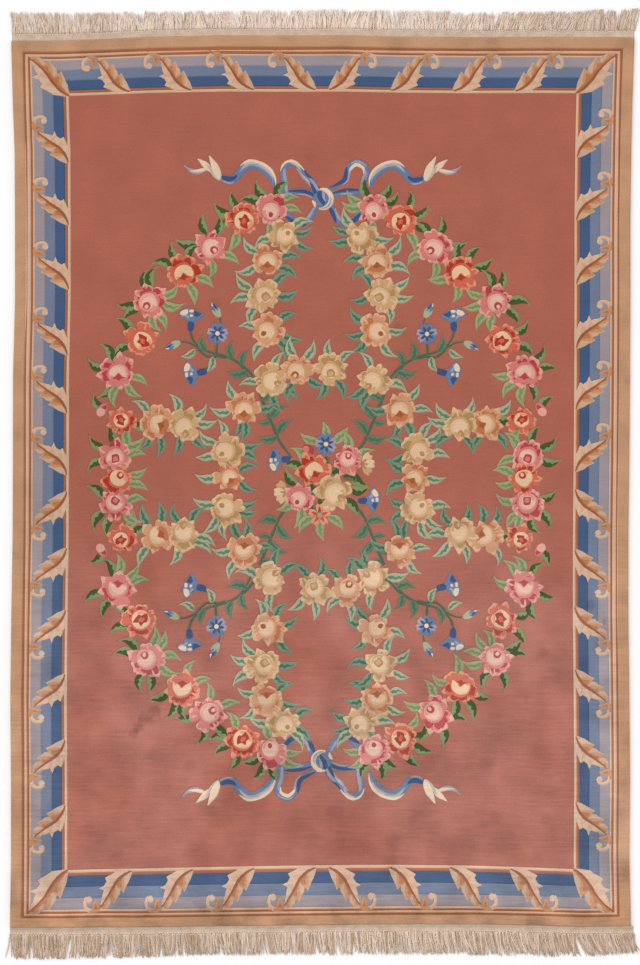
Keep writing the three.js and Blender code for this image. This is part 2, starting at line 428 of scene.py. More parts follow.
# %% Roses
Dyes = namedtuple("Dyes", "rim petal shade bowl light pale heart deep")
ROSES = {
    "pink": Dyes("pink_light", "pink", "pink_deep", "pink_soft",
                 "pink_light", "pink_pale", "pink", "pink_deep"),
    "red": Dyes("coral_light", "coral", "red", "coral_light",
                "coral_pale", "coral_pale", "coral", "red"),
    "cream": Dyes("cream_light", "cream", "gold", "cream",
                  "cream_light", "cream_pale", "cream", "gold"),
    "peach": Dyes("peach_light", "peach", "peach_mid", "peach",
                  "peach_light", "peach_pale", "peach_mid", "peach_deep"),
}
ROUND_PETAL = pairs(0.1, 0, 0.40, 0.22, 0.66, 0.34, 0.88, 0.33, 0.98, 0.17, 0.93, 0.0, 0.97, -0.19,
                    0.84, -0.34, 0.62, -0.34, 0.40, -0.22)
POINTED_PETAL = pairs(0.1, 0, 0.40, 0.24, 0.60, 0.34, 0.80, 0.24, 1.08, 0.06, 0.92, -0.12, 0.80, -0.30,
                      0.60, -0.36, 0.40, -0.24)
BLUSH = pairs(0.1, 0, 0.40, 0.23, 0.62, 0.34, 0.81, 0.28, 0.80, 0.12, 0.90, 0.07, 0.80, -0.04,
              0.86, -0.20, 0.66, -0.33, 0.42, -0.23)
WEDGE = pairs(0.36, 0.22, 0.58, 0.34, 0.70, 0.24, 0.76, 0.10, 0.68, 0.02, 0.74, -0.10, 0.62, -0.22,
              0.50, -0.26, 0.36, -0.18)
CRESCENT = pairs(0.36, -0.26, 0.54, -0.34, 0.74, -0.26, 0.82, -0.04, 0.72, 0.10, 0.60, 0.18, 0.40, 0.20)
GLINT = pairs(0.50, -0.06, 0.70, -0.14, 0.90, -0.10, 0.72, -0.03)
BOWL = pairs(1.0, 0.12, 0.74, 0.70, 0.16, 1.0, -0.48, 0.86, -0.96, 0.36, -0.92, -0.34, -0.52, -0.86,
             0.14, -1.0, 0.70, -0.74)
FOLD = pairs(-0.80, 0.52, -0.40, 0.92, 0.30, 0.96, 0.86, 0.44, 0.60, 0.34, 0.30, 0.70, -0.30, 0.66,
             -0.50, 0.36)
DROP = pairs(0.14, 0, 0.06, 0.12, -0.10, 0.13, -0.19, 0, -0.09, -0.13, 0.06, -0.11)
HOOK = pairs(0.20, 0.10, 0.10, 0.20, -0.10, 0.18, -0.22, 0.02, -0.16, -0.16, 0.02, -0.22, 0.20, -0.18,
             0.06, -0.12, -0.04, -0.06, -0.06, 0.04, 0.04, 0.08)
DIAMOND = pairs(0.42, 0.04, 0.16, 0.14, 0.12, 0.28, -0.08, 0.26, -0.36, 0.16, -0.18, -0.02,
                -0.20, -0.22, 0.02, -0.20, 0.20, -0.26)
TENT = pairs(-0.16, 0, 0.02, 0.18, 0.16, 0.42, 0.34, 0.38, 0.48, 0.16, 0.44, -0.08, 0.38, -0.36,
             0.18, -0.44, 0.04, -0.20)
APEX = pairs(-0.12, 0, 0.06, 0.12, 0.14, 0.30, 0.18, 0.10, 0.28, 0.0, 0.18, -0.12, 0.16, -0.30,
             0.04, -0.14)
SQUARE = pairs(-0.20, 0.16, -0.02, 0.22, 0.20, 0.16, 0.18, -0.06, 0.14, -0.22, -0.08, -0.18,
               -0.22, -0.12)
NOTCH = pairs(0.0, 0.06, 0.16, 0.24, 0.34, 0.26, 0.42, 0.08, 0.26, 0.10, 0.18, 0.0, 0.36, -0.08,
              0.18, -0.12)
HEARTS = {
    "dot": (0.14, ((BOWL, "pale", 0.25, 0.22), (DROP, "deep", 1.0, 0.24))),
    "swirl": (0.10, ((BOWL, "heart", 0.22, 0.18), (HOOK, "deep", 0.9, 0.18), (DROP, "pale", 0.7, 0.24))),
    "diamond": (0.06, ((DIAMOND, "deep", 1.1, 0.0), (DIAMOND, "heart", -0.5, 0.03))),
    "tent": (0.10, ((TENT, "heart", 1.0, 0.08), (APEX, "deep", 1.0, 0.08))),
    "square": (0.12, ((SQUARE, "deep", 1.1, 0.06), (SQUARE, "heart", 0.66, 0.09))),
    "notch": (0.12, ((NOTCH, "deep", 1.0, 0.12),)),
}


def rose(kind, heart, place, size, facing, rng):
    dyes = ROSES[kind]
    face = ray(facing)

    def put(shape, yarn, turn, at=0, carved=False, rough=0.05):
        loop = [place + size * (at + turn * p * rng.uniform(1 - rough, 1 + rough)) for p in shape]
        lay(round_off(loop), yarn, carved)

    first = facing + rng.uniform(-15, 15)
    petals = rng.choice((6, 7, 7))
    for k in rng.sample(range(petals), petals):
        behind = min(k, petals - k) / petals
        angle = first + 360 * (k + rng.uniform(-0.2, 0.2)) / petals
        turn = ray(angle, rng.uniform(0.8, 1.04) + 0.16 * behind)
        flip = rng.choice((1, -1))
        put(flipped(rng.choice((ROUND_PETAL, POINTED_PETAL)), flip), dyes.rim, turn, 0, True)
        put(flipped(BLUSH, flip), dyes.petal, turn, rough=0.08)
        if rng.random() < 0.25 + 1.1 * behind:
            shade = flipped(rng.choice((WEDGE, CRESCENT)), flip)
            put(shade, dyes.shade, rng.uniform(0.92, 1.06) * turn, rough=0.12)
        if rng.random() < 0.25:
            put(flipped(GLINT, flip), dyes.rim, turn, rough=0.1)
    shift, marks = HEARTS[heart]
    turn = face * ray(rng.uniform(-12, 12))
    flip = rng.choice((1, -1))
    put(BOWL, dyes.petal, 0.58 * turn, (shift - 0.05) * face, rough=0.06)
    put(BOWL, dyes.light, (0.51 + 0.06j * flip) * turn, shift * face, True, 0.06)
    lit = shift * face + 0.05 * turn * ray(60 * flip)
    put(BOWL, dyes.pale, 0.40 * turn * ray(40 * flip), lit, rough=0.1)
    put(flipped(FOLD, flip), dyes.bowl, 0.48 * turn * ray(-70 * flip), shift * face, rough=0.08)
    for shape, tone, scale, further in marks:
        put(shape, getattr(dyes, tone), scale * turn, (shift + further) * face, rough=0.08)


print(len(ROSES), "sets of dyes and", len(HEARTS), "kinds of heart")

# %% [markdown]
# Four flowering sprigs reach out of the lattice, with blue bells and one open blue flower each, and
# leafy stems run in towards the middle. Each could be drawn where it lies. One is enough, for the upper
# left, and it is mirrored for the other three, which keeps the tables short.

# %% Sprigs
BELL = ((pairs(-1.0, -0.22, -0.45, -0.26, -0.10, -0.62, 0.12, -1.0, 0.36, -0.92, 0.48, -0.56, 0.70, -0.42,
               0.68, 0.02, 0.84, 0.32, 0.62, 0.68, 0.40, 0.98, 0.12, 0.94, -0.05, 0.55, -0.42, 0.26,
               -1.0, 0.22), "ribbon"),
        (pairs(-1.0, -0.22, -0.4, -0.26, -0.3, 0.2, -1.0, 0.22), "ribbon_deep"),
        (pairs(-0.1, 0.25, 0.12, 0.5, 0.05, 0.84, 0.24, 0.5, 0.1, 0.15), "ribbon_light"),
        (pairs(0.08, -0.42, 0.34, -0.84, 0.46, -0.5, 0.6, -0.3, 0.3, -0.2), "ribbon_deep"),
        (pairs(0.30, 0.30, 0.66, 0.28, 0.60, 0.66, 0.36, 0.90, 0.18, 0.70), "ribbon_cream"),
        (pairs(0.44, -0.14, 0.66, -0.16, 0.64, 0.14, 0.46, 0.16), "ribbon_cream"),
        (pairs(0.08, -0.12, 0.24, -0.12, 0.26, 0.08, 0.1, 0.08), "ribbon_cream"))
BUD = ((pairs(-0.9, -0.12, -0.3, -0.36, 0.4, -0.34, 1.0, 0.0, 0.5, 0.30, -0.2, 0.36, -0.9, 0.12), "ribbon"),
       (pairs(0.0, -0.2, 0.6, -0.16, 0.8, 0.02, 0.3, 0.02), "ribbon_deep"),
       (pairs(0.5, 0.04, 0.98, 0.0, 0.6, 0.22), "ribbon_cream"),
       (pairs(-0.95, -0.2, -0.3, -0.44, 0.1, -0.34, -0.3, -0.12, 0.2, 0.02, -0.3, 0.12, 0.15, 0.36,
              -0.3, 0.46, -0.95, 0.2), "teal_pale"))
SMALL_PETAL = pairs(0.1, 0, 0.55, 0.32, 0.98, 0.24, 0.92, 0, 1.0, -0.22, 0.55, -0.32)
PETAL_MARK = pairs(0.1, -0.14, 0.62, -0.1, 0.78, 0.02, 0.5, 0.12, 0.1, 0.14)


def bell(place, angle, size, hand=1, mirror=(1, 1), shapes=BELL):
    turn = ray(angle, size)
    for k, (shape, yarn) in enumerate(shapes):
        loop = [mirrored(place + turn * p, mirror) for p in flipped(shape, hand)]
        lay(round_off(loop), yarn, k == 0)


def open_flower(place, size, first, mirror=(1, 1)):
    for k in range(7):
        turn = ray(first + 360 * k / 7, size)
        yarn = "ribbon" if k % 3 else "ribbon_light"
        lay(round_off([mirrored(place + turn * p, mirror) for p in SMALL_PETAL]), yarn, True)
        lay([mirrored(place + turn * p, mirror) for p in PETAL_MARK], "ribbon_deep")
    blob(mirrored(place, mirror), 0.22 * size, "ribbon_cream")


STEMS = (
    ((9, 8, 8, 7, 6), [-190+288j, -231+333j, -279+362j, -332+377j, -370+392j]),
    ((6, 6, 5), [-249+347j, -226+318j, -208+279j]),
    ((7, 6), [-362+389j, -385+418j, -394+454j]),
    ((6, 4), [-367+392j, -397+406j, -418+409j]),
    ((7, 6), [-314+374j, -311+412j]),
    ((5, 4), [-299+451j, -305+483j]),
    ((7, 6), [-367+386j, -341+365j, -308+365j, -285+359j]),
    ((5, 5), [-314+368j, -338+333j, -353+327j]),
    ((9, 9, 8, 8, 6), [-184+253j, -163+200j, -143+152j, -125+111j, -90+64j]),
)
STEM_LEAVES = (
    ("teal", "teal_dark", ((-344+380j, 112, 52), (-267+356j, 97, 56), (-240+338j, 72, 52),
                           (-220+321j, 188, 62), (-190+291j, 80, 30))),
    ("teal_pale", "teal", ((-376+386j, 212, 50), (-323+365j, -108, 52))),
    ("teal", "teal_dark", ((-166+208j, 160, 58), (-155+182j, 42, 64), (-152+173j, 190, 40),
                           (-134+134j, 48, 62), (-131+126j, 186, 62), (-178+235j, 20, 54))),
)
BELLS = ((-390+480j, 88, 37, 1), (-381+315j, 190, 38, -1))
BUDS = ((-444+398j, 205, 25, 1), (-317+504j, 120, 26, 1))
STEM_LEAF_BREADTH = 0.44
rng = random.Random(5)
for mirror in MIRRORS:
    for widths, route in STEMS:
        strip([mirrored(place, mirror) for place in flow(route, 4)], widths, "teal_dark", True)
    for light, dark, rows in STEM_LEAVES:
        for base, angle, length in rows:
            ends = [mirrored(place, mirror) for place in (base, base + ray(angle, length))]
            leaf(*ends, STEM_LEAF_BREADTH * length, 0.2 * mirror[0] * mirror[1], light, dark, rng)
    for row in BELLS:
        bell(*row, mirror)
    for row in BUDS:
        bell(*row, mirror, BUD)
    open_flower(-311+433j, 32, 10, mirror)
print(len(patches), "patches with the sprigs")

# %% [markdown]
# The wreath is an oval of pink and red roses, and inside it is a lattice of cream and peach ones. They
# could be spaced evenly by a formula, but a weaver sets them by eye, so each row of the tables is one
# rose of the upper left quarter: its kind, heart, place, radius, facing, and the angles of its dark and
# pale leaves. All the leaves are laid before any rose, so that the petals cover their stalk ends.

# %% Wreath and lattice
Row = namedtuple("Row", "kind heart place size facing dark pale")
WREATH = [Row(*row) for row in (
    ("pink", "dot", -152+803j, 50, -95, (114, 69, 153), (32, 2, -88)),
    ("red", "diamond", -234+770j, 54, -75, (117, 161, -165), (-117,)),
    ("pink", "swirl", -335+690j, 56, -35, (103, 60, 170), (-29, -85)),
    ("red", "tent", -412+616j, 54, -90, (119, 162, 75), (-23, -72)),
    ("pink", "swirl", -515+531j, 55, -115, (109, 76, -167, -139), (18, -12, -55, -80)),
    ("red", "diamond", -536+415j, 54, -40, (149, -155), ()),
    ("pink", "tent", -604+321j, 57, -80, (122, 167, -117), (-18, -54, -86)),
    ("red", "diamond", -592+176j, 44, 150, (-15,), (-70,)),
    ("pink", "square", -613+72j, 53, -80, (107, 146, -154), (42, -8)),
)]
LATTICE = [Row(*row) for row in (
    ("cream", "dot", -116+720j, 50, 40, (20, -21), (47, -175)),
    ("peach", "tent", -163+649j, 53, -90, (8, -33), (144, -156)),
    ("cream", "square", -175+548j, 54, -45, (37, -3), (152, -164, -120)),
    ("peach", "dot", -158+442j, 52, 210, (45, -14, -50), (175, -112)),
    ("cream", "notch", -155+294j, 53, -35, (-32, -69), (78, -169)),
    ("peach", "tent", -231+208j, 53, -90, (-112, -86, -2), (180, 127)),
    ("cream", "dot", -282+87j, 53, 215, (15, -20), (140, -165, 107)),
    ("peach", "tent", -489+167j, 55, -20, (-124, -74), (131,)),
    ("cream", "notch", -409+161j, 52, -90, (-110, -54), (115, 43, 10)),
)]
SIDE_ROSES = (Row("red", "swirl", -604+0j, 50, 60, (), (23, -23)),
              Row("peach", "tent", -276+7j, 48, -60, (25, -25), (180,)))
END_ROSES = (Row("peach", "swirl", -75+324j, 52, -110, (-40, -100), (94, 54)),
             Row("cream", "square", 23+324j, 51, -80, (-60, -110), (88, 40)))
LEAF_DYES = {"pink": (("green_light", "green_dark"), ("sage_pale", "sage")),
             "cream": (("teal_light", "teal_dark"), ("teal_pale", "teal"))}
LEAF_DYES["red"] = LEAF_DYES["pink"]
LEAF_DYES["peach"] = LEAF_DYES["cream"]
LEAF_LENGTHS = (58, 72)
LEAF_BREADTH = 0.41
LEAF_ROOT = 0.66
ROSE_BUD = (
    (pairs(-0.7, -0.3, -0.2, -0.52, 0.4, -0.48, 0.9, 0, 0.4, 0.5, -0.2, 0.52, -0.7, 0.3), "pink"),
    (pairs(-0.1, -0.2, 0.4, -0.32, 0.7, 0.0, 0.1, 0.2), "pink_deep"),
    (pairs(-1.0, -0.1, -0.6, -0.55, 0.0, -0.5, 0.12, 0.0, -0.2, 0.45, -0.7, 0.42), "pink_light"),
)
planted = [(row, mirror) for mirror in MIRRORS for row in WREATH + LATTICE]
planted += [(row, mirror) for mirror in MIRRORS[:2] for row in SIDE_ROSES]
planted += [(row, mirror) for mirror in (MIRRORS[0], MIRRORS[3]) for row in END_ROSES]


def turned(angle, mirror):
    return math.degrees(cmath.phase(mirrored(ray(angle), mirror)))


rng = random.Random(11)
for row, mirror in planted:
    for angles, dyes in zip((row.dark, row.pale), LEAF_DYES[row.kind]):
        for angle in angles:
            angle = turned(angle, mirror) + rng.uniform(-5, 5)
            length = rng.uniform(*LEAF_LENGTHS)
            base = mirrored(row.place, mirror) + ray(angle, LEAF_ROOT * row.size)
            tip = base + ray(angle + rng.uniform(-16, 16), length)
            bend = rng.uniform(0.1, 0.3) * rng.choice((1, -1))
            leaf(base, tip, LEAF_BREADTH * length, bend, *dyes, rng)
for mirror in MIRRORS:
    stalk = [mirrored(place, mirror) for place in (-645+208j, -684+253j)]
    leaf(*stalk, 26, 0.2, "green_light", "green_dark", rng)
    bell(-650+210j, 52, 24, 1, mirror, ROSE_BUD)
for row, mirror in planted:
    rose(row.kind, row.heart, mirrored(row.place, mirror), row.size, turned(row.facing, mirror), rng)
print(len(patches), "patches with", len(planted), "roses")

# %% [markdown]
# A loose bouquet lies in the middle, the one part that is not mirrored: four roses, a blue flower, a
# small red one, two bells, a pink bud and two cream buds, with leaves fanned behind them. It uses the
# same shapes as the rest, laid from the back to the front, because here the flowers overlap.

# %% Bouquet
BOUQUET_LEAVES = (
    ("sage_pale", "sage", ((11+117j, 92, 50), (-10+111j, 160, 54), (32+108j, 40, 58), (79+81j, 95, 58),
                           (97+61j, 35, 58), (-48+46j, 125, 60), (-84-58j, -140, 54), (-60-81j, -105, 60),
                           (-27-111j, -140, 56), (-7-123j, -88, 52), (17-108j, -35, 54))),
    ("green_light", "green_dark", ((-57+31j, 165, 54), (-75-19j, 130, 56), (85+22j, -50, 58),
                                   (79-28j, 0, 56), (67-55j, -45, 58))),
    ("green", "green_dark", ((-30-31j, 90, 34), (-7-78j, 80, 40), (11+69j, -80, 34), (46+40j, -100, 36),
                             (-19-22j, -120, 44), (26+16j, 60, 44), (61+10j, -20, 40),
                             (-33-75j, -60, 40))),
)
for light, dark, rows in BOUQUET_LEAVES:
    for base, angle, length in rows:
        tip = base + ray(angle, 1.15 * length)
        leaf(base, tip, 0.52 * length, rng.uniform(-0.25, 0.25), light, dark, rng)
open_flower(11+105j, 33, 20)
PINK_BUD = -42+87j
blob(PINK_BUD, 18, "pink_deep", True)
blob(PINK_BUD - 6 + 3j, 10, "pink")
for place, outward in ((117+46j, 0), (-104-37j, 180)):
    for angle, yarn in ((-48, "cream"), (48, "cream_light"), (0, "cream_pale")):
        turn = ray(outward + angle, 40)
        lay(round_off([place + turn * p for p in SMALL_PETAL]), yarn, True)
        lay([place + turn * 0.7 * p for p in PETAL_MARK], "gold")
bell(-132+58j, 184, 36)
bell(144-61j, 4, 36)
rose("red", "tent", -26+28j, 54, -60, rng)
rose("pink", "swirl", 75+56j, 47, 80, rng)
rose("pink", "dot", -66-52j, 47, -120, rng)
rose("cream", "notch", 35-37j, 60, -50, rng)
RED_STAR = -8-105j
for k in range(5):
    turn = ray(90 + 72 * k, 34)
    lay(round_off([RED_STAR + turn * p for p in SMALL_PETAL]), "coral_light", True)
    lay([RED_STAR + turn * p for p in PETAL_MARK], "coral_mid" if k else "red")
blob(RED_STAR, 8, "sage_pale")
print(len(patches), "patches,", sum(len(p.points) for p in patches), "points")

# %% [markdown]
# The real pile is one flat cut surface. Here the patches become that surface: a constrained Delaunay
# triangulation keeps every outline as mesh edges, and each triangle takes the yarn of the topmost patch
# whose outline winds round its middle. A painted image would be less work, but it would blur close up,
# and these edges stay crisp.

# %% Triangles and their yarns
def topmost(middles):
    """The last patch whose outline winds round each place."""
    order = np.argsort(middles[:, 0])
    in_order = middles[order, 0]
    over = np.full(len(middles), -1)
    for k, patch in enumerate(patches):
        a = np.array(patch.points)
        b = np.roll(a, -1)
        low, high = np.searchsorted(in_order, (a.real.min(), a.real.max()))
        near = order[low:high]
        near = near[(middles[near, 1] > a.imag.min()) & (middles[near, 1] < a.imag.max())]
        x, y = middles[near, :1], middles[near, 1:]
        side = (b.real - a.real) * (y - a.imag) - (x - a.real) * (b.imag - a.imag)
        rising = (a.imag <= y) & (b.imag > y) & (side > 0)
        falling = (a.imag > y) & (b.imag <= y) & (side < 0)
        over[near[rising.sum(axis=1) != falling.sum(axis=1)]] = k
    return over


def triangulate(spots, lines):
    made = geometry.delaunay_2d_cdt([Vector((p.real, p.imag)) for p in spots], lines, [], 0, 1e-3, False)
    corners, triangles = np.array([tuple(v) for v in made[0]]), np.array(made[2])
    owners = topmost(corners[triangles].mean(axis=1))
    return corners, triangles[owners >= 0], owners[owners >= 0]


def seams(triangles, owners):
    """The edges where two patches meet, and which of them are carved."""
    rims = [triangles[:, [a, b]] for a, b in ((0, 1), (1, 2), (2, 0))]
    edges = np.sort(np.concatenate(rims), axis=1)
    sides = np.tile(owners, 3)
    order = np.lexsort(edges.T)
    edges, sides = edges[order], sides[order]
    twins = np.flatnonzero((edges[1:] == edges[:-1]).all(axis=1))
    twins = twins[sides[twins] != sides[twins + 1]]
    carved = np.array([patch.carved for patch in patches])
    return edges[twins], carved[np.maximum(sides[twins], sides[twins + 1])]


print(len(patches), "patches to turn into triangles")


# %% [markdown]
# Most of an outline is hidden under later patches, and one round of triangles would waste points on it,
# so they are made twice. The first round finds the seams that show. The second is made from those
# alone, with guard points beside the carved ones, which keep each groove narrow. At a sharp tip more
# guards stand round the point.

# %% The cut pile
SHARP = 1.2
FAN = (-50, 0, 50)
GUARD_GAP = 2.6
JUST_OVER = 1e-6


def guards(spots, lines):
    """Places on both sides of every carved seam point, and a fan of them round every sharp tip."""
    axis, pull = np.zeros_like(spots), np.zeros_like(spots)
    heading = spots[lines[:, 1]] - spots[lines[:, 0]]
    heading /= np.abs(heading)
    for column, sign in ((0, 1), (1, -1)):
        np.add.at(axis, lines[:, column], heading**2)
        np.add.at(pull, lines[:, column], sign * heading)
    there = np.abs(axis) > JUST_OVER
    out = GUARD * 1j * np.sqrt(axis[there] / np.abs(axis[there]))
    sharp = np.abs(pull) > SHARP
    away = -GUARD * pull[sharp] / np.abs(pull[sharp])
    beside = [spots[there] + out, spots[there] - out]
    beside += [spots[sharp] + away * ray(turn) for turn in FAN]
    beside = np.concatenate(beside)
    cell = np.round(beside / GUARD_GAP)
    return beside[np.unique(cell, return_index=True)[1]]


def on_pile(place):
    inside = abs(place.real) < HALF_WIDTH - RIM + JUST_OVER
    return inside and abs(place.imag) < HALF_LENGTH - RIM + JUST_OVER


outlines = []
start = 0
for patch in patches:
    ends = np.arange(len(patch.points))
    outlines += zip((start + ends).tolist(), (start + np.roll(ends, -1)).tolist())
    start += len(patch.points)
drawn = [place for patch in patches for place in patch.points]
corners, triangles, owners = triangulate(drawn, outlines)
print(len(triangles), "triangles in the first round")
lines, carved = seams(triangles, owners)
spots, where = np.unique(np.round(corners @ (1, 1j)), return_inverse=True)
lines = where[lines]
kept = lines[:, 0] != lines[:, 1]
lines, carved = lines[kept], carved[kept]
used, lines = np.unique(lines, return_inverse=True)
spots, lines = spots[used], lines.reshape(-1, 2)
beside = guards(spots, lines[carved])
print(len(spots), "points on the seams and", len(beside), "guards")
more = [place for place in [*beside, *strays, *patches[0].points] if on_pile(place)]
corners, triangles, owners = triangulate([*spots, *more], lines.tolist())
print(len(corners), "points and", len(triangles), "triangles from", len(patches), "patches")

# %% [markdown]
# When the weaving is done, a shallow groove is clipped with shears along the motifs, so that they stand
# out. It could be bump in the material, but then the mesh would lack it. Here each point of the pile
# sinks by how near it is to a carved seam: the seam itself by the groove's full depth, and the guard
# points beside it hardly at all.

# %% The grooves
GROOVE = 1.6


def carved_points(step=1.5):
    """Places all along the carved seams."""
    lines, carved = seams(triangles, owners)
    for a, b in corners[lines[carved]]:
        for share in np.linspace(0, 1, max(2, math.ceil(np.hypot(*(b - a)) / step))):
            yield a + (b - a) * share


places = list(carved_points())
tree = kdtree.KDTree(len(places))
for k, place in enumerate(places):
    tree.insert((*place, 0), k)
tree.balance()
nearness = np.array([1 - min(1, tree.find((*place, 0))[2] / GUARD) for place in corners])
heights = PILE_TOP - GROOVE * nearness
print(len(places), "places along the grooves")

# %% [markdown]
# No handmade carpet is a true rectangle. The CAD outline wanders as the real edge does, so the drawing
# is stretched to it: each point keeps its share of the way from the middle to the edge beside it. The
# edge is measured on the underside of the CAD piece, whose only points are its outline. The lines of
# the lower border sag a little between the edges, so they are shifted before that.

# %% Stretching the drawing to the outline
under = np.array([v.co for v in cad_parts["rug"].data.vertices if v.co.z < 0.1 * MM]) / MM
MIDDLE = (-2, 9)


def edge(axis, side):
    """Where the edge is: places along it, and how far out it lies there."""
    out = side * under[:, axis] / (HALF_WIDTH, HALF_LENGTH)[axis]
    beside = np.abs(under[:, 1 - axis]) / (HALF_WIDTH, HALF_LENGTH)[1 - axis]
    line = under[(out > 0.9) & (out > beside - 0.004)]
    line = line[np.argsort(line[:, 1 - axis])]
    return line[:, 1 - axis], line[:, axis]


EDGES = {(axis, side): edge(axis, side) for axis in (0, 1) for side in (1, -1)}
SAG_LINES = (950, HALF_LENGTH - FIELD_INSET, HALF_LENGTH - 52, HALF_LENGTH)
SAG_IN = (0, 10, 0, 0)
SAG_OUT = (0, 0, 8, 0)


def stretched(plan):
    """Pattern places in millimetres, one row each, moved to the frame's metres."""
    sag = np.interp(-plan[:, 1], SAG_LINES, SAG_IN) * np.cos(plan[:, 0] / HALF_WIDTH * math.pi / 2)
    plan = plan.copy()
    plan[:, 1] += sag - np.interp(-plan[:, 1], SAG_LINES, SAG_OUT)
    placed = plan * MM
    for axis, half in ((0, HALF_WIDTH), (1, HALF_LENGTH)):
        beside = plan[:, 1 - axis] + MIDDLE[1 - axis]
        share = plan[:, axis] / half
        reach = np.where(share > 0, np.interp(beside, *EDGES[axis, 1]), np.interp(beside, *EDGES[axis, -1]))
        placed[:, axis] = (MIDDLE[axis] + np.abs(share) * (reach - MIDDLE[axis])) * MM
    return placed


def stretch_mesh(mesh):
    plan = np.array([v.co for v in mesh.vertices])
    mesh.vertices.foreach_set("co", stretched(plan).astype(np.float32).ravel())


print("edges measured at", [len(e[0]) for e in EDGES.values()], "places")

# %% [markdown]
# The border and the field are two pieces that meet in the groove between them. Each could be cut out of
# a slab, but it is cleaner to take the flat cut surface, extrude its rim down to the woven back, in a
# rounded step at the outside, and close it underneath. Flat shading keeps the groove walls from
# smearing their shade over the wide triangles beside them.

# %% Border and field pieces
BACK_TOP = 2.2
RIM_BAND = 20


def add_object(name, data):
    """A new object in the scene, at the origin."""
    made = bpy.data.objects.new(name, data)
    bpy.context.scene.collection.objects.link(made)
    return made


def pile_piece(name, chosen, rim_steps, rim_yarn):
    kept = np.unique(triangles[chosen])
    mesh = bpy.data.meshes.new(name)
    lookup = np.full(len(corners), -1)
    lookup[kept] = np.arange(len(kept))
    top = np.column_stack([corners[kept], heights[kept]])
    mesh.from_pydata(top.tolist(), [], lookup[triangles[chosen]].tolist())
    bm = bmesh.new()
    bm.from_mesh(mesh)
    rim = [e for e in bm.edges if e.is_boundary]
    for scale, level in rim_steps:
        grown = bmesh.ops.extrude_edge_only(bm, edges=rim)["geom"]
        rim = [g for g in grown if isinstance(g, bmesh.types.BMEdge)]
        for vert in {v for e in rim for v in e.verts}:
            outside = abs(vert.co.x) > HALF_WIDTH - RIM_BAND or abs(vert.co.y) > HALF_LENGTH - RIM_BAND
            vert.co.z = level if outside else min(level, vert.co.z)
            if outside:
                vert.co.x *= scale[0]
                vert.co.y *= scale[1]
    if rim_yarn == "ground":
        bmesh.ops.contextual_create(bm, geom=rim)
    else:
        bmesh.ops.bridge_loops(bm, edges=rim)
    bmesh.ops.recalc_face_normals(bm, faces=bm.faces)
    bm.to_mesh(mesh)
    bm.free()
    stretch_mesh(mesh)
    dyed = [COLOURS[patches[k].yarn] for k in owners[chosen]]
    dyed += [COLOURS[rim_yarn]] * (len(mesh.polygons) - len(dyed))
    counts = [len(face.vertices) for face in mesh.polygons]
    shades = np.repeat(np.array(dyed), counts, axis=0)
    yarn = mesh.color_attributes.new("yarn", "FLOAT_COLOR", "CORNER")
    opaque = np.column_stack([shades, np.ones(len(shades))])
    yarn.data.foreach_set("color", opaque.astype(np.float32).ravel())
    print(name, len(mesh.vertices), "points", sum(c - 2 for c in counts), "triangles")
    return add_object(name, mesh)


def swell(inset, before):
    """How much a box grows, across and along, when its inset changes."""
    return ((HALF_WIDTH - inset) / (HALF_WIDTH - before), (HALF_LENGTH - inset) / (HALF_LENGTH - before))


middles = corners[triangles].mean(axis=1)
in_field = (np.abs(middles) < (HALF_WIDTH - FIELD_INSET, HALF_LENGTH - FIELD_INSET)).all(axis=1)
field = pile_piece("pile_field", np.flatnonzero(in_field), (((1, 1), BACK_TOP),), "ground")
SHOULDER = 1.2
ROUNDED = (
    (swell(SHOULDER, RIM), PILE_TOP - 1.3),
    (swell(0, SHOULDER), PILE_TOP - 4),
    ((1, 1), BACK_TOP),
)
border = pile_piece("pile_border", np.flatnonzero(~in_field), ROUNDED, "tan")

# %% [markdown]
# Under the pile is the cotton foundation that the knots are tied on: a thin flat cloth, seen only from
# below and as a line at the edge. A plain slab would do, but it has to keep to the same wandering
# outline, so it is a grid, stretched as the pile is and given its thickness by an extrusion.

# %% Woven back
BACK_IN = 0.6
BACK_GAP = 0.05


def woven_back():
    bm = bmesh.new()
    bmesh.ops.create_grid(bm, x_segments=60, y_segments=90, size=1)
    bmesh.ops.scale(bm, vec=(HALF_WIDTH - BACK_IN, HALF_LENGTH - BACK_IN, 1), verts=bm.verts)
    grown = bmesh.ops.extrude_face_region(bm, geom=bm.faces[:])["geom"]
    lifted = [g for g in grown if isinstance(g, bmesh.types.BMVert)]
    bmesh.ops.translate(bm, vec=(0, 0, BACK_TOP - BACK_GAP), verts=lifted)
    bmesh.ops.recalc_face_normals(bm, faces=bm.faces)
    mesh = bpy.data.meshes.new("woven_back")
    bm.to_mesh(mesh)
    bm.free()
    stretch_mesh(mesh)
    return add_object("woven_back", mesh)


back = woven_back()
print(back.name, len(back.data.polygons), "faces")

# %% [markdown]
# The fringe is the warp of the carpet, left long past a narrow woven band. Its strands are soft two-ply
# twists that lie flat, lean together in clumps and cross. Hair could draw them, but these have to be a
# mesh that can be kept, so all of them are worked out at once as arrays: a tube of four sides round
# each ply's path, with a tone for every strand. A strand starts thin inside the band, as if it grew out
# of it.

# %% Fringe strands
WEB_WIDTH = 26
STRANDS = 1150
RINGS = 9
SIDES = 4
PLY_RADIUS = 1.5
PLY_APART = 0.7
TWIST = 15
CLUMP = 14
ROOT_IN = 6
ROOT_HEIGHT = 1.3
LAYERS = (3.2, 4.6)
DARK_SHARE = 0.06
DARK_TONE = -1
TONES = (0.1, 1.1)
MEAN_TONE = 0.6

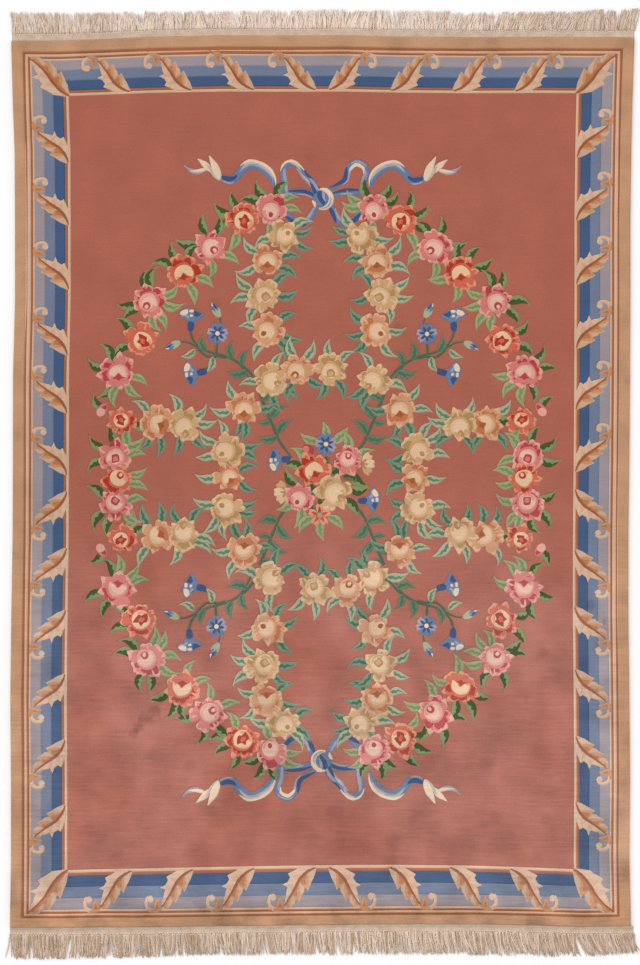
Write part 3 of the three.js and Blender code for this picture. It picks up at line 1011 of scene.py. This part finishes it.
# In these, 1 is the head end and -1 the foot end, and a row runs from left to right
SPANS = {1: (-920, 921), -1: (-926, 918)}
LEANS = {1: (-4, 12), -1: (-4, 18)}
LOOSE = {1: 1, -1: 0.65}
LENGTHS = {1: (65, 57, 51, 56, 56, 53, 64), -1: (72, 70, 64, 67, 68, 71, 58)}
TONE_SPREAD = {1: 1, -1: 1.6}
TONE_SHIFTS = {1: (-0.3, 0, 0.1, 0.35, 0.15, -0.3, -0.35),
               -1: (-0.8, -0.68, -0.62, -0.25, -0.45, -0.5, -0.8)}


def tubes(paths, radii):
    """Closed tubes round many paths at once: paths is tube, ring, xyz and radii is tube, ring."""
    count, rings = radii.shape
    heading = np.gradient(paths, axis=1)
    heading /= np.linalg.norm(heading, axis=2, keepdims=True)
    side = np.cross(heading, (0, 0, 1))
    side /= np.linalg.norm(side, axis=2, keepdims=True)
    rise = np.cross(side, heading)
    angles = np.arange(SIDES) * 2 * np.pi / SIDES
    ring = side[:, :, None] * np.cos(angles)[:, None] + rise[:, :, None] * np.sin(angles)[:, None]
    points = (paths[:, :, None] + ring * radii[:, :, None, None]).reshape(-1, 3)
    k = np.arange(SIDES)
    quad = np.stack([k, (k + 1) % SIDES, (k + 1) % SIDES + SIDES, k + SIDES], axis=1)
    wall = (np.arange(rings - 1)[:, None, None] * SIDES + quad).reshape(-1, 4)
    walls = (np.arange(count)[:, None, None] * rings * SIDES + wall).reshape(-1, 4)
    ends = np.arange(count)[:, None] * rings * SIDES
    caps = np.concatenate([ends + k[::-1], ends + (rings - 1) * SIDES + k])
    return points, walls.tolist() + caps.tolist()


def strands(end, rng):
    """Two-ply strand paths of one end, in millimetres, with their radii and tones."""
    t = np.linspace(0, 1, RINGS)
    x = np.linspace(*SPANS[end], STRANDS) + rng.normal(0, 1.5, STRANDS)
    root = np.interp(x, *EDGES[1, end]) + end * (WEB_WIDTH - ROOT_IN)
    bunch = np.cumsum(rng.random(STRANDS) < 1 / CLUMP)
    middles = np.bincount(bunch, x) / np.bincount(bunch)
    sway = rng.normal(0, 7 * LOOSE[end], len(middles))
    reach = rng.normal(0, 2, len(middles))
    lean = np.interp(x, SPANS[end], LEANS[end]) + rng.normal(0, 9 * LOOSE[end], STRANDS)
    pull = (middles[bunch] - x) * rng.uniform(0, 0.55 * LOOSE[end], STRANDS) + sway[bunch]
    stops = np.linspace(*SPANS[end], len(LENGTHS[end]))
    ragged = (rng.normal(0, 3, STRANDS) + reach[bunch]).clip(-9, 4)
    length = np.interp(x, stops, LENGTHS[end]) + ragged
    drift = (lean + pull)[:, None] * t**1.4
    curl = rng.uniform(3, 9, STRANDS)[:, None] * t + rng.uniform(0, 6, STRANDS)[:, None]
    wave = rng.uniform(0.4, 3, STRANDS)[:, None] * np.sin(curl) * t
    layer = np.where(t > 0, rng.uniform(*LAYERS, STRANDS)[:, None], ROOT_HEIGHT)
    out = root[:, None] + end * length[:, None] * t
    middle = np.stack([x[:, None] + drift + wave, out, layer], axis=2)
    turn = rng.uniform(0, 6, STRANDS)[:, None] + 2 * np.pi * length[:, None] * t / TWIST
    taper = np.interp(t, (0, 0.1, 0.8, 1), (0.3, 1, 0.85, 0.35))
    thin = taper * rng.uniform(0.8, 1.15, STRANDS)[:, None]
    around = np.stack([np.cos(turn), np.zeros_like(turn), np.sin(turn)], axis=2)
    offset = around * (PLY_RADIUS * thin)[:, :, None] * PLY_APART
    paths = np.concatenate([middle + offset, middle - offset])
    tones = np.where(rng.random(STRANDS) < DARK_SHARE, DARK_TONE, rng.uniform(*TONES, STRANDS))
    tones = MEAN_TONE + (tones - MEAN_TONE) * TONE_SPREAD[end] + np.interp(x, stops, TONE_SHIFTS[end])
    return paths, np.concatenate([thin, thin]) * PLY_RADIUS, np.concatenate([tones, tones])


print(STRANDS, "strands at each end, of two plies with", RINGS, "rings each")

# %% [markdown]
# Between the pile and the loose strands is a flat-woven band, ribbed by the warp, with two rows of
# small knots that keep the weft from slipping out. A smooth strip with bump would look flat at its
# edge, so the band is a ribbed strip that slopes up to the pile, and each knot is a small flattened
# ball. Strands, band and knots are joined into one piece for each end.

# %% Woven band and knots
WEB_RIBS = 460
# Painted light on the band, by row from the pile outwards: the row at the pile's edge is painted lighter, a
# painted highlight that offsets the shadow the pile casts there, and the rows beyond are darker next to the
# pile and lighter outwards.
WEB_PAINTED_TONES = (0.5, 0, 0.05, 0.2, 0.2)
WEB_LIFTS = (4, 0, 0, 0, -0.6)
WEB_ROWS = len(WEB_PAINTED_TONES)
RIB_MIDDLE = 1.9
RIB_SWELL = 0.7
WEB_GAP = 0.3
WEB_FLOOR = 0.1
KNOTS = 460
# Knots are painted lighter than the strands' mean tone, a painted highlight that lifts the shadow line
# between the knots and the strands.
KNOT_PAINTED_LIGHT = 0.75
KNOT_ROWS = (WEB_WIDTH - 6, WEB_WIDTH - 1)
KNOT_SIZE = (2.6, 2.4)
KNOT_RISE = 1.4
KNOT_HEIGHT = 2.9


def web(end):
    """The ribbed band that the strands leave: rows of warp ribs, closed below."""
    across = np.linspace(*SPANS[end], WEB_RIBS * 2 + 1)
    edge_line = np.interp(across, *EDGES[1, end])
    rows = np.linspace(WEB_GAP, WEB_WIDTH, WEB_ROWS)
    ribs = RIB_MIDDLE + RIB_SWELL * np.cos(np.arange(len(across)) * np.pi)
    top = [np.stack([across, edge_line + end * row, ribs + lift], axis=1)
           for row, lift in zip(rows, WEB_LIFTS)]
    flat = [line * (1, 1, 0) + (0, 0, WEB_FLOOR) for line in top]
    points = np.concatenate(top + flat)
    n = len(across)
    size = n * WEB_ROWS
    faces = []
    for row in range(WEB_ROWS - 1):
        for k in range(n - 1):
            a = row * n + k
            faces.append((a, a + 1, a + n + 1, a + n))
            faces.append((size + a + n, size + a + n + 1, size + a + 1, size + a))
    for k in range(n - 1):
        last = (WEB_ROWS - 1) * n + k
        faces += [(k, size + k, size + k + 1, k + 1), (last, last + 1, size + last + 1, size + last)]
    for row in range(WEB_ROWS - 1):
        a, b = row * n, row * n + n - 1
        faces += [(a, a + n, size + a + n, size + a), (b, size + b, size + b + n, b + n)]
    return points, faces


def knots(end, rng):
    """Two staggered rows of small flattened knots along the outer part of the band."""
    bm = bmesh.new()
    bmesh.ops.create_icosphere(bm, subdivisions=1, radius=1)
    ball = np.array([v.co for v in bm.verts])
    balls = [[v.index for v in f.verts] for f in bm.faces]
    bm.free()
    across = np.linspace(*SPANS[end], KNOTS) + rng.normal(0, 0.5, KNOTS)
    rows = np.where(np.arange(KNOTS) % 2, KNOT_ROWS[1], KNOT_ROWS[0])
    out = np.interp(across, *EDGES[1, end]) + end * (rows + rng.normal(0, 0.6, KNOTS))
    sizes = rng.uniform(0.85, 1.15, KNOTS)
    points = [ball * (KNOT_SIZE[0] * s, KNOT_SIZE[1] * s, KNOT_RISE) + (x, y, KNOT_HEIGHT)
              for x, y, s in zip(across, out, sizes)]
    faces = [[k * len(ball) + v for v in face] for k in range(KNOTS) for face in balls]
    return np.concatenate(points), faces


def fringe(name, end):
    rng = np.random.default_rng(20 + end)
    paths, radii, tones = strands(end, rng)
    parts = [tubes(paths, radii), web(end), knots(end, rng)]
    # Band tones per row, with the painted highlight at the pile's edge.
    band_painted_light = np.tile(np.repeat(WEB_PAINTED_TONES, WEB_RIBS * 2 + 1), 2)
    # Painted highlight on the knots.
    knot_painted_light = np.full(len(parts[2][0]), KNOT_PAINTED_LIGHT)
    tone = np.concatenate([np.repeat(tones, RINGS * SIDES), band_painted_light, knot_painted_light])
    points = []
    faces = []
    for more, rows in parts:
        start = sum(len(p) for p in points)
        faces += [[start + k for k in row] for row in rows]
        points.append(more)
    points = np.concatenate(points)
    mesh = bpy.data.meshes.new(name)
    mesh.from_pydata((points * MM).tolist(), [], faces)
    bm = bmesh.new()
    bm.from_mesh(mesh)
    bmesh.ops.recalc_face_normals(bm, faces=bm.faces)
    bm.to_mesh(mesh)
    bm.free()
    mesh.attributes.new("tone", "FLOAT", "POINT").data.foreach_set("value", tone.astype(np.float32))
    mesh.shade_smooth()
    print(name, len(points), "points", sum(len(f) - 2 for f in faces), "triangles")
    return add_object(name, mesh)


head = fringe("head_fringe", 1)
foot = fringe("foot_fringe", -1)

# %% [markdown]
# Shader nodes do sums, and a row of Math nodes is hard to read. They could be set out one by one. This
# class wraps one socket instead, so that a formula can be written as Python arithmetic and each sign
# makes its node. Every other node comes from one method that takes its kind, its sockets and its
# settings.

# %% Shader sums
class Shade:
    def __init__(self, tree, output):
        self.tree = tree
        self.output = output

    def node(self, kind, sockets=None, out=0, **settings):
        made = self.tree.nodes.new(kind)
        for name, value in settings.items():
            setattr(made, name, value)
        for name, value in (sockets or {}).items():
            if isinstance(value, Shade):
                self.tree.links.new(value.output, made.inputs[name])
            else:
                made.inputs[name].default_value = value
        return Shade(self.tree, made.outputs[out])

    def maths(self, operation, one, other):
        return self.node("ShaderNodeMath", {0: one, 1: other}, operation=operation)

    def __add__(self, other):
        return self.maths("ADD", self, other)

    __radd__ = __add__

    def __mul__(self, other):
        return self.maths("MULTIPLY", self, other)

    __rmul__ = __mul__

    def __sub__(self, other):
        return self.maths("SUBTRACT", self, other)

    def __rsub__(self, other):
        return self.maths("SUBTRACT", other, self)

    def sine(self):
        return self.node("ShaderNodeMath", {0: self}, operation="SINE")

    def noise(self, scale, detail=2.0, stretch=(1, 1, 1)):
        spread = self.node("ShaderNodeVectorMath", {0: self, 1: stretch}, operation="MULTIPLY")
        return self.node("ShaderNodeTexNoise", {"Vector": spread, "Scale": scale, "Detail": detail})

    def range(self, low, high, to_low=0.0, to_high=1.0):
        """The value carried smoothly from one range to another."""
        limits = {"From Min": low, "From Max": high, "To Min": to_low, "To Max": to_high}
        return self.node("ShaderNodeMapRange", {"Value": self, **limits}, interpolation_type="SMOOTHSTEP")

    def part(self, axis):
        """One of a place's three numbers: 0 is across, 1 is along and 2 is up."""
        return self.node("ShaderNodeSeparateXYZ", {0: self}, axis)

    def yarn(self, name):
        made = self.node("ShaderNodeRGB")
        made.output.default_value = (*COLOURS[name], 1)
        return made

    def bump(self, strength, distance):
        return self.node("ShaderNodeBump", {"Strength": strength, "Distance": distance, "Height": self})

    def times(self, factor):
        """A colour made lighter or darker by a factor socket."""
        grey = self.node("ShaderNodeCombineColor", {"Red": factor, "Green": factor, "Blue": factor})
        return self.node("ShaderNodeMix", {0: 1.0, 6: self, 7: grey}, 2,
                         data_type="RGBA", blend_type="MULTIPLY")

    def mix(self, other, share):
        return self.node("ShaderNodeMix", {0: share, 6: self, 7: other}, 2, data_type="RGBA")


def begin(name):
    """A new material: its place socket in object coordinates, and its surface shader."""
    material = bpy.data.materials.new(name)
    material.use_nodes = True
    tree = material.node_tree
    surface = tree.nodes["Principled BSDF"]
    place = Shade(tree, tree.nodes.new("ShaderNodeTexCoord").outputs["Object"])
    return material, surface, place


def dress(surface, values):
    """Give the surface shader its sockets: a number, a colour or a link."""
    for name, value in values.items():
        if isinstance(value, Shade):
            value.tree.links.new(value.output, surface.inputs[name])
        else:
            surface.inputs[name].default_value = value


print("shader sums on", Shade.__name__)

# %% [markdown]
# Hand-dyed wool is never one flat colour. The yarn colour from the mesh could be left plain, but a carpet
# shows its making and its years. So it is varied in five ways, each at its real scale: short faint streaks
# along the weft, cloudy lighter and darker patches, the fine grain of cut tufts, soil along the rim, and
# paler, greyer patches over the lower half. Soft dark spots are placed where they lie: most are marks that
# use has left, and the two widest are broad darker areas over the left middle and the lower middle.

# %% Wool
STAINS = (
    (-557-749j, 18, 0.2), (-539-729j, 24, 0.26), (-518-708j, 28, 0.28), (-497-684j, 24, 0.26),
    (-477-646j, 22, 0.2), (-503-820j, 28, 0.12), (-394-844j, 28, 0.13), (-586-956j, 32, 0.12),
    (-598-1113j, 34, 0.14), (43-983j, 40, 0.12), (43-1080j, 44, 0.1), (212-1072j, 40, 0.13),
    (200-1128j, 32, 0.12), (511-1001j, 28, 0.1), (661-1001j, 28, 0.1), (481-844j, 28, 0.1),
    (655-513j, 28, 0.12), (596-634j, 30, 0.12), (794-374j, 16, 0.2), (836-418j, 14, 0.2),
    (771-545j, 16, 0.14), (-672-1j, 420, 0.07), (23-947j, 330, 0.06), (-317+516j, 24, 0.1),
    (230+442j, 30, 0.1), (-36+944j, 20, 0.08),
)


def stain(place, wander, spot, radius, depth):
    """A soft dark spot: its depth in the middle, nothing past its radius."""
    centre = ((spot.real + MIDDLE[0]) * MM, (spot.imag + MIDDLE[1]) * MM, PILE_TOP * MM)
    away = place.node("ShaderNodeVectorMath", {0: place, 1: centre}, 1, operation="DISTANCE")
    return (away + wander).range(radius * MM, radius * MM * 0.2, 0, depth)


def wool():
    material, surface, place = begin("wool pile")
    across, along = place.part(0), place.part(1)
    yarn = place.node("ShaderNodeAttribute", attribute_name="yarn")
    lower = along.range(0.15, -0.7)
    streaks = place.noise(1, 3, (11, 150, 0)) - 0.5
    clouds = place.noise(9, 5) - 0.5
    tufts = place.noise(260, 2) - 0.5
    ends = (along * along).range(1.54, 1.61) + along.range(-1.22, -1.27)
    rim = (across * across).range(0.72, 0.79) + ends
    soil = rim * place.noise(11, 4, (1, 1, 0)).range(0.4, 0.75) * 0.16
    factor = 0.97 + streaks * (0.12 + lower * 0.3) + clouds * (0.3 + lower * 0.6) + tufts * 0.35 - soil
    # Paler, greyer patches over the lower half, mixed in by a patchy share that is held back along the rim.
    greyer_tone = place.node("ShaderNodeHueSaturation", {"Saturation": 0.89, "Value": 1.09, "Color": yarn})
    greyer_share = lower * place.noise(2.5, 2).range(0.3, 0.7, 0.4, 1.6) - rim
    wander = (place.noise(26, 4) - 0.5) * 0.05
    mark = sum(stain(place, wander, *row) for row in STAINS)
    dress(surface, {"Base Color": yarn.mix(greyer_tone, greyer_share).times(factor * (1 - mark)),
                    "Normal": place.noise(330, 3).bump(0.5, 0.0015),
                    "Roughness": 0.95, "Specular IOR Level": 0.05,
                    "Sheen Weight": 0.06, "Sheen Roughness": 0.5})
    return material


pile_wool = wool()
field.data.materials.append(pile_wool)
border.data.materials.append(pile_wool)
print(pile_wool.name, len(pile_wool.node_tree.nodes), "nodes")

# %% [markdown]
# The cotton of the fringe is undyed and a little grey from the floor. Each strand could have a material
# of its own. One is enough for all of them, because the tone of a strand comes from the mesh, and
# cloudy noise adds the soil.

# %% Cotton
def cotton():
    material, surface, place = begin("fringe cotton")
    tone = place.node("ShaderNodeAttribute", {}, 2, attribute_name="tone")
    # The fine noise across the strands is bump, and it also scales the colour: a painted highlight where
    # the surface rises and painted shade in the gaps between.
    fibre_bump_and_shade = place.noise(900, 2, (1, 0.25, 1))
    blend = tone * 0.7 + place.noise(45, 3) * 0.8 - 0.15
    shade = place.yarn("cotton_dull").mix(place.yarn("cotton_light"), blend)
    dress(surface, {"Base Color": shade.times(0.88 + fibre_bump_and_shade * 0.24), "Normal": fibre_bump_and_shade.bump(0.5, 0.0006),
                    "Roughness": 0.9, "Specular IOR Level": 0.15, "Sheen Weight": 0.1})
    return material


fringe_cotton = cotton()
head.data.materials.append(fringe_cotton)
foot.data.materials.append(fringe_cotton)
print(fringe_cotton.name, len(fringe_cotton.node_tree.nodes), "nodes")

# %% [markdown]
# The back is cotton too, in a plain weave. Modelling its threads would take very many faces for something
# that lies on the floor, so two sine waves are multiplied to give the over and under of the weave, as bump
# and as painted shade: the colour is a little darker where the weave dips and lighter where it rises.

# %% Back cloth
WARP_PITCH = 0.004
WEFT_PITCH = 0.003


def back_cloth():
    material, surface, place = begin("back cloth")
    warp = (place.part(0) * (2 * math.pi / WARP_PITCH)).sine()
    weft = (place.part(1) * (2 * math.pi / WEFT_PITCH)).sine()
    weave_bump_and_shade = warp * weft
    # Painted shade: the colour is darkened where the weave dips and lightened where it rises.
    shade = place.yarn("back").times(0.92 + weave_bump_and_shade * 0.06 + place.noise(20, 3) * 0.14)
    dress(surface, {"Base Color": shade, "Normal": weave_bump_and_shade.bump(0.4, 0.0008), "Roughness": 0.92})
    return material


back.data.materials.append(back_cloth())
print(back.data.materials[0].name, "on", back.name)

# %% [markdown]
# The carpet lies on white and is seen from straight above. A studio could be built with lamps and
# screens, but a pale floor, an even bright sky and one very soft sun from the upper left give the same
# flat light, with just enough direction for the grooves to show.

# %% Floor, light and camera
SKY = 0.78
SUN_POWER = 1.1
SUN_SPREAD = 50
SUN_HEADING = (0.6, -0.75, -1)
VIEW_LENGTH = 2.8525
VIEW_CENTRE = (-0.0088, 0.0003)
LENS = 100


def floor_plane():
    bm = bmesh.new()
    bmesh.ops.create_grid(bm, x_segments=1, y_segments=1, size=12)
    mesh = bpy.data.meshes.new("floor")
    bm.to_mesh(mesh)
    bm.free()
    material, surface, place = begin("floor")
    dress(surface, {"Base Color": (0.97, 0.97, 0.97, 1), "Roughness": 0.8})
    mesh.materials.append(material)
    return add_object("floor", mesh)


floor = floor_plane()
world = bpy.data.worlds.new("studio")
world.use_nodes = True
world.node_tree.nodes["Background"].inputs["Strength"].default_value = SKY
world.node_tree.nodes["Background"].inputs["Color"].default_value = (1, 1, 1, 1)
bpy.context.scene.world = world
sun = bpy.data.lights.new("soft sun", "SUN")
sun.energy = SUN_POWER
sun.angle = math.radians(SUN_SPREAD)
lamp = add_object("soft sun", sun)
lamp.rotation_euler = Vector(SUN_HEADING).to_track_quat("-Z", "Y").to_euler()
lens = bpy.data.cameras.new("camera")
lens.lens = LENS
camera = add_object("camera", lens)
camera.location = (*VIEW_CENTRE, VIEW_LENGTH * LENS / lens.sensor_width + PILE_TOP * MM)
bpy.context.scene.camera = camera
bpy.context.scene.view_settings.view_transform = "Standard"
print("camera", round(camera.location.z, 3), "m above the floor")

# %% [markdown]
# Last, the pieces are tied to the frame: all ride on its one body, and the CAD solids they detail are
# hidden. The back is cut to the carpet's size and lies on the floor.

# %% Tying the pieces to the frame
PIECES = (
    (field, "rug", "wool_pile"),
    (border, "rug", "wool_pile"),
    (back, "rug", "cotton_fringe"),
    (head, "fringe_head", "cotton_fringe"),
    (foot, "fringe_foot", "cotton_fringe"),
)
for piece, node, slot in PIECES:
    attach(piece, "root")
    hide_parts(node)
print(len(PIECES), "pieces on the frame")
